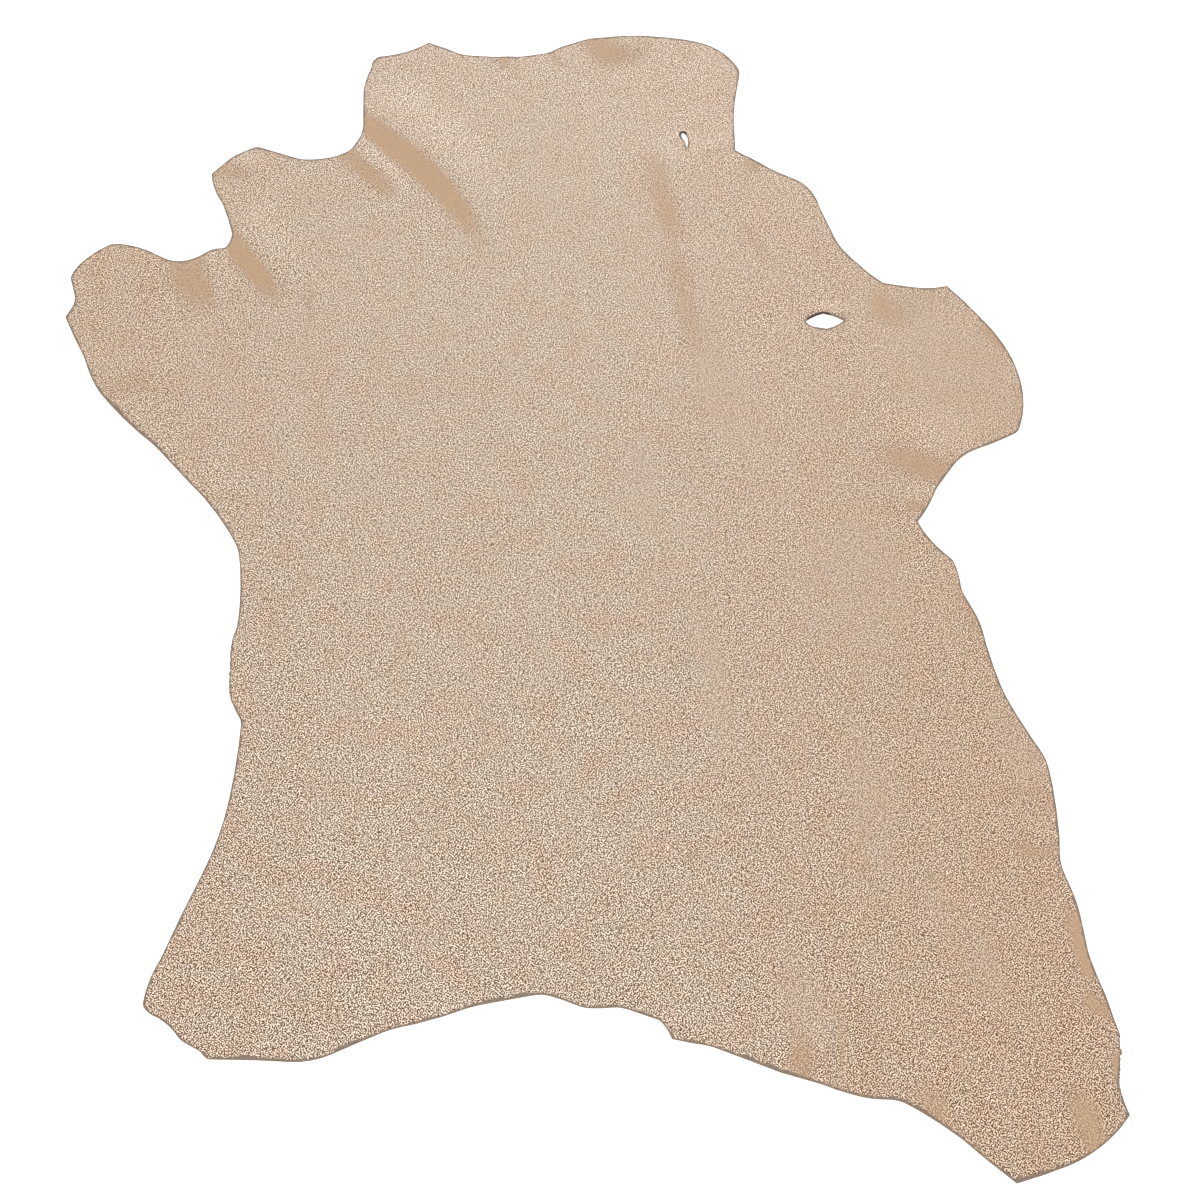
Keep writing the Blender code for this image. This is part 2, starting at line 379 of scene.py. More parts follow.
# %% Ripple table
Fold = namedtuple("Fold", "start_x start_y end_x end_y bow left right height from_rim")
RIPPLES = (
    Fold(-169, 417, -48, 258, 18, 60, 33, 4.5, True),       # neck notch, long
    Fold(-180, 384, -130, 328, 0, 14, 24, 2.3, True),       # neck notch, short
    Fold(45, 508, 60, 466, 0, 44, 44, 4.0, True),           # neck rim
    Fold(-4, 484, -1, 462, 0, 12, 14, 0.9, True),           # neck rim, small
    Fold(-53, 486, -46, 463, 0, 12, 16, 1.1, True),         # neck rim, left
    Fold(92, 406, 106, 284, -2, 44, 34, 2.7, False),        # neck centre, upper
    Fold(107, 324, 124, 168, -1, 34, 34, 2.3, False),       # neck centre, lower
    Fold(-306, 372, -247, 361, 0, 16, 24, 1.8, True),       # left shoulder tip
    Fold(-275, 298, -226, 224, 2, 44, 28, 3.6, True),       # left foreleg notch, right
    Fold(-301, 288, -291, 216, 0, 14, 48, 4.6, True),       # left foreleg notch, left
    Fold(-394, 163, -292, 151, 5, 30, 28, 1.6, True),       # left foreleg root
    Fold(-292, 53, -250, 60, 2, 18, 20, 1.6, True),         # left flank
    Fold(287, 256, 277, 202, -2, 34, 34, 3.1, True),        # right shoulder notch
    Fold(352, 221, 378, 183, 0, 16, 16, 1.6, False),        # right foreleg rim
    Fold(336, 81, 246, 105, 0, 34, 50, 3.6, True),          # right foreleg notch
    Fold(300, 50, 276, 42, 0, 16, 12, 1.6, True),           # right flank, top
    Fold(316, -2, 342, -88, -1, 14, 14, 0.9, False),        # right flank rim
    Fold(387, -186, 388, -228, 0, 14, 16, 1.5, False),      # right flank rim, lower
    Fold(384, -236, 342, -247, 0, 20, 24, 2.1, True),       # right flank, across
    Fold(403, -272, 414, -358, 0, 14, 32, 4.4, False),      # hind leg rim
    Fold(414, -362, 388, -356, 0, 20, 18, 2.2, True),       # hind leg, across
    Fold(423, -392, 421, -448, 0, 12, 18, 4.2, False),      # hind leg rim, lower
    Fold(408, -468, 385, -402, -1, 34, 26, 3.8, True),      # hind foot, right
    Fold(373, -490, 330, -430, 0, 26, 22, 1.0, True),       # hind foot, left
    Fold(302, -460, 274, -394, 0, 38, 28, 3.0, True),       # inside of the hind leg
    Fold(193, -430, 200, -362, 0, 36, 14, 5.0, True),       # tail edge, left
    Fold(214, -430, 218, -330, 0, 24, 28, 3.2, True),       # tail edge, right
)
CREASES = (
    Fold(-212, 278, -208, 192, 1, 16, 12, 0.8, False),      # beside the left foreleg notch
    Fold(-214, 280, -168, 279, 0, 12, 12, 0.6, False),      # left shoulder
    Fold(160, 422, 158, 374, 0, 10, 15, 1.1, False),        # neck, right edge
    Fold(155, 377, 176, 363, 0, 10, 16, 1.3, False),        # right neck notch, outer
    Fold(147, 391, 110, 376, 2, 12, 12, 0.8, True),         # right neck notch, inner
    Fold(158, 325, 182, 262, 0, 12, 20, 0.9, False),        # right shoulder
    Fold(116, 208, 121, 60, 0, 24, 18, 0.6, False),         # neck centre, dying out
    Fold(384, -193, 336, -196, 0, 14, 16, 0.8, False),      # right flank, faint
    Fold(240, -180, 238, -300, 0, 18, 16, 0.6, False),      # right side of the belly
    Fold(-390, 296, -330, 283, 3, 12, 12, 0.7, False),      # far edge of the left foreleg
    Fold(383, 172, 386, 106, 0, 10, 18, 1.1, False),        # end of the right foreleg
)
FOLD_NARROWING = 0.3        # how much narrower a ripple is at its end
FOLD_RUN_ON = 24            # how far one that starts at the rim runs on past it, in mm
HOLD = 0.4                  # the share of its length on which it keeps its height
ENDS = 0.35                 # the share of its length that each end of a free one takes to fade


def bell(distance, reach):
    """Return a smooth hump for an array of distances: 1 at 0, and 0 from reach outwards."""
    return (1 + np.cos(np.pi * np.clip(distance / reach, -1, 1))) / 2


def fold_height(fold, x, y):
    """Return how far one ripple lifts the leather at each point, all in mm."""
    run_x, run_y = fold.end_x - fold.start_x, fold.end_y - fold.start_y
    length = math.hypot(run_x, run_y)
    t = ((x - fold.start_x) * run_x + (y - fold.start_y) * run_y) / length**2
    offset = ((y - fold.start_y) * run_x - (x - fold.start_x) * run_y) / length
    offset = offset - 4 * fold.bow * t * (1 - t)
    if fold.from_rim:
        fade = np.where(t > 0, bell(np.maximum(t - HOLD, 0), 1 - HOLD), bell(t * length, FOLD_RUN_ON))
    else:
        fade = bell(np.maximum(np.abs(t - 0.5) - 0.5 + ENDS, 0), ENDS)
    reach = np.where(offset > 0, fold.left, fold.right) * (1 - FOLD_NARROWING * np.clip(t, 0, 1))
    return fold.height * fade * bell(offset, reach)


def fold_heights(folds, x, y):
    """Return how far a whole table of ripples lifts the leather at each point, all in mm."""
    return sum(fold_height(fold, x, y) for fold in folds)


print(len(RIPPLES), "ripples and", len(CREASES), "faint creases")

# %% [markdown]
# ## Curled rims, lips and slow waves
#
# Where the knife ran along the near side, the rim has dried a little upwards and shows its cut edge.
# The far lip of the slit stands up too, and so does the flap of the nick. Between the ripples the skin
# isn't dead flat either: it rides up and down by less than a millimetre in long waves, which four
# crossing cosine waves describe well enough. Curls and lips are rows of the same kind as the ripples.

# %% Curls, lips and waves
CURLS = (
    Fold(-392, 156, -310, 67, 2, 12, 12, 0.7, False),       # lower edge of the left foreleg
    Fold(-262, -406, -178, -411, 0, 12, 12, 1.0, False),    # end of the left hind leg
    Fold(-170, -406, -138, -390, 0, 12, 12, 0.7, False),    # left hind leg to tail
    Fold(-78, -370, -6, -357, 0, 12, 12, 1.0, False),       # tail, left
    Fold(18, -369, 88, -391, 0, 12, 12, 0.7, False),        # tail, middle
    Fold(120, -401, 188, -425, 0, 12, 12, 0.9, False),      # tail, right
    Fold(224, -435, 292, -461, 4, 12, 12, 0.9, False),      # inside of the hind leg
    Fold(316, -495, 378, -484, -3, 12, 12, 0.7, False),     # hind foot
)
LIPS = (
    Fold(196, 220, 246, 217, 2, 15, 6, 1.8, False),         # far side of the slit
    Fold(98, 400, 104, 380, -2, 5, 7, 1.0, False),          # flap of the nick
)
Wave = namedtuple("Wave", "degrees length height shift")
WAVES = (
    Wave(22, 270, 0.5, 40), Wave(78, 190, 0.35, 10), Wave(131, 145, 0.28, 75), Wave(160, 97, 0.16, 20),
)


def wave_heights(x, y):
    """Return how far the long waves lift the leather at each point, all in mm."""
    total = 0
    for wave in WAVES:
        turn = math.radians(wave.degrees)
        along = x * math.cos(turn) + y * math.sin(turn) + wave.shift
        total = total + wave.height * (1 + np.cos(2 * np.pi * along / wave.length)) / 2
    return total


def lift(x, y):
    """Return the height of the leather's underside at each point, all in mm."""
    return fold_heights(RIPPLES + CREASES + CURLS + LIPS, x, y) + wave_heights(x, y)


print(len(CURLS), "curled rims,", len(LIPS), "lips and", len(WAVES), "waves")

# %% [markdown]
# ## Lifting the sheet
#
# Every point of the flat sheet is raised by the height under it, so the thickness stays the same and the
# rest stays flat on the floor. Each point also notes a few things about its own place, as attributes
# that the finishes read later:
#
# * `shaded_flank`: how steeply it faces the tail end and the left, away from the key panel. It is painted
#   shade: there the foil would show no glints, so the finish paints plain tan with less grain.
# * `from_rim`: how far it lies from the cut edge, in mm, for the painted shade along the rim.
# * `curl`: how far the rim is curled up there, in mm. The painted shade along the rim is wider on a curl.
# * `layer`: 0 on the flesh side and 1 on the grain side.
# * `lip_shadow`: 1 at the far lip of a flaw, 0 a few millimetres away from it. It is painted shadow:
#   the shade under the raised lip of the slit, and in the dark hollow at the nick.

# %% Places on the flat sheet
SLOPE_STEP = 0.5            # how far apart two heights are compared, in mm
# Painted shade falls on slopes that face this way, away from the key panel, full at this steepness.
AWAY_FROM_KEY_X, AWAY_FROM_KEY_Y = 0.7, 0.71
SHADED_FROM, SHADED_TO = 0.0, 0.24
RIM_STEP = 0.6              # in mm
# Painted shadow under the raised far lip of the slit and in the dark hollow at the nick.
LIP_SHADOW_WIDTH = 2.2            # in mm
LIP_SHADOW_SPOTS = (Spot(214, 218, 9), Spot(100, 397, 4.5))
UPRIGHT = 0.5


def note(mesh, name, values):
    """Store one number for each point of the mesh."""
    attribute = mesh.attributes.new(name, "FLOAT", "POINT")
    attribute.data.foreach_set("value", values)


def rim_marks(mesh, x, y):
    """Return places all along the cut edges, close together, in mm."""
    upright = [face for face in mesh.polygons if abs(face.normal.z) < UPRIGHT]
    marks = []
    for first, second in sorted({key for face in upright for key in face.edge_keys}):
        start, end = Vector((x[first], y[first], 0)), Vector((x[second], y[second], 0))
        steps = math.ceil((end - start).length / RIM_STEP) + 1
        marks.extend(start.lerp(end, step / steps) for step in range(steps + 1))
    return marks


def distance_to(marks, x, y):
    """Return how far each point is from the nearest mark, in mm."""
    tree = KDTree(len(marks))
    for number, mark in enumerate(marks):
        tree.insert(mark, number)
    tree.balance()
    return np.array([tree.find((px, py, 0))[2] for px, py in zip(x, y)])


def find_flank_shade(x, y):
    """Return the painted shade on ripple flanks that face away from the key panel, from 0 to 1."""
    folds = RIPPLES + CREASES
    across = fold_heights(folds, x + SLOPE_STEP, y) - fold_heights(folds, x - SLOPE_STEP, y)
    along = fold_heights(folds, x, y + SLOPE_STEP) - fold_heights(folds, x, y - SLOPE_STEP)
    facing = (across * AWAY_FROM_KEY_X + along * AWAY_FROM_KEY_Y) / (2 * SLOPE_STEP)
    return np.clip((facing - SHADED_FROM) / (SHADED_TO - SHADED_FROM), 0, 1)


def lift_sheet(mesh):
    """Raise every point of the flat sheet by what lies under it, and note what its place means."""
    points = np.empty(len(mesh.vertices) * 3)
    mesh.vertices.foreach_get("co", points)
    points = points.reshape(-1, 3)
    x, y = points[:, 0] / MM, points[:, 1] / MM
    marks = rim_marks(mesh, x, y)
    lips = [mark for mark in marks if any(near(mark * MM, spot) for spot in LIP_SHADOW_SPOTS)]
    # Painted shade on the flanks that face away from the key panel.
    note(mesh, "shaded_flank", find_flank_shade(x, y))
    note(mesh, "from_rim", distance_to(marks, x, y))
    note(mesh, "curl", fold_heights(CURLS, x, y))
    note(mesh, "layer", points[:, 2] / THICKNESS)
    note(mesh, "lip_shadow", np.clip(1 - distance_to(lips, x, y) / LIP_SHADOW_WIDTH, 0, 1))
    points[:, 2] += MM * lift(x, y)
    mesh.vertices.foreach_set("co", points.ravel())
    mesh.update()


lift_sheet(sheet_mesh)
print("sheet stands", round(max(vert.co.z for vert in sheet_mesh.vertices) / MM, 1), "mm high")

# %% [markdown]
# ## Foil on a crinkled grain
#
# Seen close, the grain side is a field of fine pebbles and crinkles, less than 2 mm from one to the next.
# The foil was rolled on after the plate had pressed them, so it covers the tops and misses the valleys.
# The valleys are painted near black: partly the tan dye, partly painted shade in the hollows. A
# Voronoi texture gives the pebbles and a soft noise bends them into short crinkles. Their sum is the
# relief, and it also says where the foil ends.
#
# A plain repeat of that would look printed. So slower noises make the plate bite deeper in some places,
# thin the foil to tan or to rose in others, and leave faint streaks in the direction of the rollers.

# %% Node helpers
Fade = namedtuple("Fade", "low high to_low to_high", defaults=(0.0, 1.0))


def feed(tree, socket, value):
    """Link an input to another node's output, or set it to a plain value."""
    if isinstance(value, bpy.types.NodeSocket):
        tree.links.new(value, socket)
    else:
        socket.default_value = value


def add_node(tree, kind, label, inputs=(), **settings):
    """Add a node, with its settings and its input values or links by name or number."""
    node = tree.nodes.new(kind)
    node.label = label
    for name, value in settings.items():
        setattr(node, name, value)
    for name, value in dict(inputs).items():
        feed(tree, node.inputs[name], value)
    return node


def remap(tree, label, value, fade):
    """Turn a range of values into another range, smoothly and without overshoot."""
    inputs = {"Value": value, "From Min": fade.low, "From Max": fade.high}
    inputs.update({"To Min": fade.to_low, "To Max": fade.to_high})
    node = add_node(tree, "ShaderNodeMapRange", label, inputs, interpolation_type="SMOOTHSTEP")
    return node.outputs["Result"]


def mix_colours(tree, label, factor, first, second):
    """Blend two colours by a factor."""
    node = add_node(tree, "ShaderNodeMix", label, data_type="RGBA")
    for name, value in (("Factor_Float", factor), ("A_Color", first), ("B_Color", second)):
        feed(tree, next(item for item in node.inputs if item.identifier == name), value)
    return next(item for item in node.outputs if item.identifier == "Result_Color")


def calculate(tree, label, operation, first, second=0.0):
    """Do one sum on two values."""
    return add_node(tree, "ShaderNodeMath", label, {0: first, 1: second}, operation=operation).outputs[0]


print("node helpers ready")

# %% Helpers for patches
BUMP_STRENGTH = 1.0


def patches(tree, label, place, size, detail=1.0, stretch=(1, 1, 1)):
    """Return a soft noise whose patches have about this size, stretched if need be."""
    scaled = add_node(tree, "ShaderNodeMapping", label + ", stretched", {"Vector": place, "Scale": stretch})
    inputs = {"Vector": scaled.outputs["Vector"], "Scale": 1 / size, "Detail": detail}
    return add_node(tree, "ShaderNodeTexNoise", label, inputs).outputs["Fac"]


def read_note(tree, name):
    """Return what each point noted about its place under this name."""
    return add_node(tree, "ShaderNodeAttribute", name, attribute_name=name).outputs["Fac"]


def start_material(name):
    """Make a material and return it with its tree, its shader and the place on the hide."""
    material = bpy.data.materials.new(name)
    material.use_nodes = True
    tree = material.node_tree
    place = add_node(tree, "ShaderNodeTexCoord", "place on the hide").outputs["Object"]
    return material, tree, tree.nodes["Principled BSDF"], place


def set_bump(tree, shader, height, distance):
    """Let a height roughen the surface."""
    inputs = {"Height": height, "Distance": distance, "Strength": BUMP_STRENGTH}
    bump = add_node(tree, "ShaderNodeBump", "relief", inputs)
    tree.links.new(bump.outputs["Normal"], shader.inputs["Normal"])


print("patch helpers ready")

# %% The pressed grain
PEBBLE_PITCH = 1.7 * MM
PEBBLE_UNEVENNESS = 0.85
CRINKLE_SIZE, CRINKLE_DETAIL = 1.15 * MM, 0.0
CRINKLE_SHARE = 1.0
NOISE_MIDDLE = 0.5
PLATE_TURN = math.radians(38)


def press_grain(tree, place):
    """Return the relief of the grain, about 0 in a valley and 0.5 on a top, and a tone for each pebble."""
    turned = {"Vector": place, "Rotation": (0, 0, PLATE_TURN)}
    plate = add_node(tree, "ShaderNodeMapping", "how the plate was turned", turned).outputs["Vector"]
    pebble = {"Vector": plate, "Scale": 1 / PEBBLE_PITCH, "Randomness": PEBBLE_UNEVENNESS}
    edges = add_node(
        tree, "ShaderNodeTexVoronoi", "pebbles", pebble, voronoi_dimensions="2D", feature="DISTANCE_TO_EDGE"
    ).outputs["Distance"]
    cells = add_node(
        tree, "ShaderNodeTexVoronoi", "each pebble's own tone", pebble, voronoi_dimensions="2D", feature="F1"
    ).outputs["Color"]
    noise = {"Vector": plate, "Scale": 1 / CRINKLE_SIZE, "Detail": CRINKLE_DETAIL}
    crinkle = add_node(tree, "ShaderNodeTexNoise", "crinkles", noise, noise_dimensions="2D").outputs["Fac"]
    bent = calculate(tree, "crinkle up or down", "SUBTRACT", crinkle, NOISE_MIDDLE)
    bent = calculate(tree, "crinkle share", "MULTIPLY", bent, CRINKLE_SHARE)
    relief = calculate(tree, "pebbles and crinkles", "ADD", edges, bent)
    tone = add_node(tree, "ShaderNodeSeparateColor", "tone", {"Color": cells}).outputs[0]
    return relief, tone


print("a pebble is", round(PEBBLE_PITCH / MM, 2), "mm, a crinkle", round(CRINKLE_SIZE / MM, 2), "mm")

# %% [markdown]
# ## Marks on the skin
#
# A few places differ from the rest: four small scratches, and long soft areas where the skin was
# stretched thin, along the backbone, the belly and the flanks. Each is one row of a table: a place, a
# direction, a length and a width. Painting them by hand would need an image, so instead a Mapping node
# moves, turns and stretches the coordinates, and a round gradient becomes a long soft mark.

# %% Scratches and stretched areas
Mark = namedtuple("Mark", "x y degrees length width")
SCRATCHES = (
    Mark(48, -307, 12, 26, 2.6), Mark(100, -251, -88, 20, 2.2),
    Mark(282, -267, -72, 18, 2.6), Mark(298, -238, 24, 16, 2.2),
)
STRETCHED = (
    Mark(66, 64, -82, 150, 30),         # backbone
    Mark(119, -103, -77, 190, 40),      # belly, middle
    Mark(233, -30, -88, 190, 130),      # right flank
    Mark(240, -215, -80, 190, 56),      # right side of the belly
    Mark(306, -316, -62, 200, 52),      # towards the hind foot
    Mark(182, -362, -70, 130, 60),      # tail edge
    Mark(130, 150, -76, 170, 56),       # neck centre, run out
    Mark(318, 172, -50, 230, 130),      # right foreleg
    Mark(360, -166, -70, 120, 56),      # right flank rim
)


def find_marks(tree, place, marks):
    """Return 1 in the middle of each mark, fading to 0 at its border, and 0 outside all of them."""
    found = 0.0
    for mark in marks:
        frame_of_mark = {
            "Vector": place,
            "Location": (mark.x * MM, mark.y * MM, 0),
            "Rotation": (0, 0, math.radians(mark.degrees)),
            "Scale": (mark.length / 2 * MM, mark.width / 2 * MM, 1),
        }
        local = add_node(tree, "ShaderNodeMapping", "where a mark is", frame_of_mark, vector_type="TEXTURE")
        centred = {"Vector": local.outputs["Vector"]}
        ball = add_node(tree, "ShaderNodeTexGradient", "mark", centred, gradient_type="SPHERICAL")
        found = calculate(tree, "marks", "MAXIMUM", ball.outputs["Fac"], found)
    return found


print(len(SCRATCHES), "scratches and", len(STRETCHED), "stretched areas")

# %% [markdown]
# ## How deep the plate bit, and painted sheen
#
# The plate pressed deepest at the tail end, and a little deeper on the left than on the right. The same
# gradient paints sheen: towards the neck end and the right the grain's colours run together, as on foil
# that mirrors a bright light. Three faint unevennesses lie over that: patches of pressure, streaks along
# the way of the rollers, and wear of the plate that comes back wherever it was set down again. In the
# stretched areas the grain is flat again. Each of these is a small number of its own, and they are
# simply added, so that one can be changed without spoiling the others.

# %% Depth of the grain
BITE_LOW, BITE_HIGH = 0.36, 1.0
LESS_SHEEN_TO_TAIL, LESS_SHEEN_TO_LEFT = Fade(-0.8, 0.8, 0.53, 0.0), Fade(-0.4, 0.42, 0.12, 0.0)
PRESSURE_PATCH, PRESSURE = 40 * MM, Fade(0.3, 0.7, 0.0, 0.09)
STREAK_WIDTH, STREAK_DETAIL, STREAK_STRETCH = 16 * MM, 0.0, (1, 0.08, 1)
STREAKS = Fade(0.3, 0.7, 0.0, 0.06)
PLATE_REPEAT, PLATE_MARK = (30.8 * MM, 30.8 * MM, 1.0), 7.7 * MM
PLATE_WEAR = Fade(0.3, 0.7, 0.0, 0.06)
LOST = Fade(0.0, 0.7, 0.0, -0.22)


def find_bite_and_sheen(tree, place):
    """Return the plate's bite, deeper to the tail and left, in patches and streaks; less bite paints sheen.
    """
    spread = add_node(tree, "ShaderNodeSeparateXYZ", "across and along", {"Vector": place})
    wrap = {0: place, 1: PLATE_REPEAT, 2: (0.0, 0.0, 0.0)}
    tile = add_node(tree, "ShaderNodeVectorMath", "repeat of the plate", wrap, operation="WRAP")
    pressure = patches(tree, "pressure", place, PRESSURE_PATCH)
    streaks = patches(tree, "streaks", place, STREAK_WIDTH, STREAK_DETAIL, STREAK_STRETCH)
    worn = patches(tree, "marks on the plate", tile.outputs["Vector"], PLATE_MARK)
    parts = (
        # Painted sheen: the grain's colours run together towards the neck end and the right.
        remap(tree, "deeper to the tail", spread.outputs["Y"], LESS_SHEEN_TO_TAIL),
        remap(tree, "deeper to the left", spread.outputs["X"], LESS_SHEEN_TO_LEFT),
        remap(tree, "uneven pressure", pressure, PRESSURE),
        remap(tree, "roller", streaks, STREAKS),
        remap(tree, "worn plate", worn, PLATE_WEAR),
        remap(tree, "lost where stretched", find_marks(tree, place, STRETCHED), LOST),
    )
    bite_and_sheen = BITE_LOW
    for part in parts:
        bite_and_sheen = calculate(tree, "bite_and_sheen", "ADD", part, bite_and_sheen)
    return calculate(tree, "deepest bite", "MINIMUM", bite_and_sheen, BITE_HIGH)


print("the plate bites", BITE_LOW, "to", BITE_HIGH, "of its full depth")

# %% [markdown]
# ## The colour of the foil
#
# Champagne foil isn't one colour. Each pebble reflects a little more or less, so it gets a tone of its
# own. The foil is thinner towards both flanks and in small patches, where tan comes through, and other
# patches have a rose tint. On the side of a ripple that faces away from the key panel it is painted
# copper: that is painted shade, where the foil would show no glint.

# %% Colour of the foil
DULL_FOIL = (0.92, 0.785, 0.64, 1)
BRIGHT_FOIL = (1.0, 0.875, 0.725, 1)
ROSE_FOIL = (1.0, 0.71, 0.57, 1)
THIN_FOIL = (0.95, 0.69, 0.49, 1)
SHADED_FOIL = (0.7, 0.47, 0.3, 1)
BACKBONE, TO_FLANKS = -70 * MM, Fade(0.06, 0.5, 0.0, 0.75)
THIN_PATCH, THIN_PATCHES = 24 * MM, Fade(0.4, 0.72, 0.0, 0.4)
ROSE_PATCH, ROSE_DETAIL, ROSE_STRETCH = 30 * MM, 1.0, (1, 1.3, 1)
ROSE_PATCHES = Fade(0.45, 0.75, 0.0, 0.5)
FOIL_SHADED_FADE = Fade(0.0, 0.9, 0.0, 0.85)


def colour_foil(tree, place, tone, flank_shade):
    """Return the foil's colour: a tone for each pebble, thinner and more tan to both flanks, in patches."""
    foil = mix_colours(tree, "tone of this pebble", tone, DULL_FOIL, BRIGHT_FOIL)
    spread = add_node(tree, "ShaderNodeSeparateXYZ", "from left to right", {"Vector": place})
    aside = calculate(tree, "beside the backbone", "SUBTRACT", spread.outputs["X"], BACKBONE)
    aside = calculate(tree, "to either side", "ABSOLUTE", aside)
    to_flanks = remap(tree, "thinner to the flanks", aside, TO_FLANKS)
    uneven = remap(tree, "thin patches", patches(tree, "foil thickness", place, THIN_PATCH), THIN_PATCHES)
    thin = calculate(tree, "how thin", "ADD", to_flanks, uneven)
    tint = patches(tree, "foil tint", place, ROSE_PATCH, ROSE_DETAIL, ROSE_STRETCH)
    foil = mix_colours(tree, "rose foil", remap(tree, "rose patches", tint, ROSE_PATCHES), foil, ROSE_FOIL)
    foil = mix_colours(tree, "thin foil", thin, foil, THIN_FOIL)
    # Painted shade: copper on the ripple flanks that face away from the key panel.
    stretched = remap(tree, "foil stretched thin", flank_shade, FOIL_SHADED_FADE)
    return mix_colours(tree, "stretched foil", stretched, foil, SHADED_FOIL)


print("foil colours:", DULL_FOIL[:3], "to", BRIGHT_FOIL[:3])

# %% [markdown]
# ## Painted shade along the rims
#
# A dark border is painted along the cut: it stands in for the cut edge and for the shade under the rim.
# It is about 2 mm wide and wider where the rim curls up. It has no clean line, so a noise makes its width
# ragged, and the note `from_rim` says which share of that width a point has behind it.

# %% Painted shade along the rim
RIM_BAND_WIDTH, RIM_BAND_PER_CURL = 1.8, 2.5
RIM_BAND_PATCH, RIM_BAND_DETAIL = 5 * MM, 2.0
RAGGED, RIM_BAND_FADE = Fade(0.3, 0.7, 0.6, 1.4), Fade(0.5, 1.1, 0.9, 0.0)


def find_dark_rim_band(tree, place):
    """Return the painted shade along the rim: a ragged border, wider where the rim is curled up."""
    width = calculate(tree, "wider on a curl", "MULTIPLY", read_note(tree, "curl"), RIM_BAND_PER_CURL)
    width = calculate(tree, "bare width", "ADD", width, RIM_BAND_WIDTH)
    ragged = remap(tree, "ragged", patches(tree, "wear", place, RIM_BAND_PATCH, RIM_BAND_DETAIL), RAGGED)
    width = calculate(tree, "ragged width", "MULTIPLY", width, ragged)
    inside = calculate(tree, "share of that width", "DIVIDE", read_note(tree, "from_rim"), width)
    return remap(tree, "rubbed along the rim", inside, RIM_BAND_FADE)


print("the rim is bare for about", RIM_BAND_WIDTH, "mm")

# %% [markdown]
# ## The whole grain side
#
# Now the parts come together, from the bottom up: dark valleys, partly painted shade, foil on their tops,
# tan painted as shade on the ripple flanks that face away from the key panel, and over all of them the
# painted shade along the rims, the scratches and the painted shadow at the lips of the flaws.
# The same factors say how metallic and how rough each place is. The relief is a bump and not mesh,
# because it is only a quarter of a millimetre deep and has nearly two hundred thousand pebbles.

# %% Foil
# Partly the tan dye, partly painted shade in the hollows between the pebbles.
SHADED_VALLEY_COLOUR = (0.1, 0.038, 0.005, 1)
SHALLOW_AND_SHEENED_GRAIN = (0.485, 0.365, 0.268, 1)
PALE_TAN = (0.512, 0.337, 0.207, 1)
DARK_TAN = (0.445, 0.284, 0.168, 1)
LIP_SHADOW_COLOUR = (0.05, 0.028, 0.018, 1)
SCRATCH_COLOUR = (0.3, 0.2, 0.125, 1)
# Painted shade: a dark band along the rim, for the cut edge and the shade under it.
RIM_SHADE_COLOUR = (0.19, 0.138, 0.1, 1)
DYE_PATCH, DYE_DETAIL = 5 * MM, 3.0
COVERED, FLANK_SHADE_FADE = Fade(0.08, 0.3), Fade(0.05, 1.0, 0.0, 0.93)
SCRATCHED, LIP_SHADOW_FADE = Fade(0.05, 0.6, 0.0, 0.65), Fade(0.1, 0.55)
FOIL_METALLIC = 0.12
SHEEN = Fade(0.0, 1.0, 0.6, 0.42)
SOFT_TOPS = Fade(-0.2, 0.6)
GRAIN_HEIGHT = 0.24 * MM


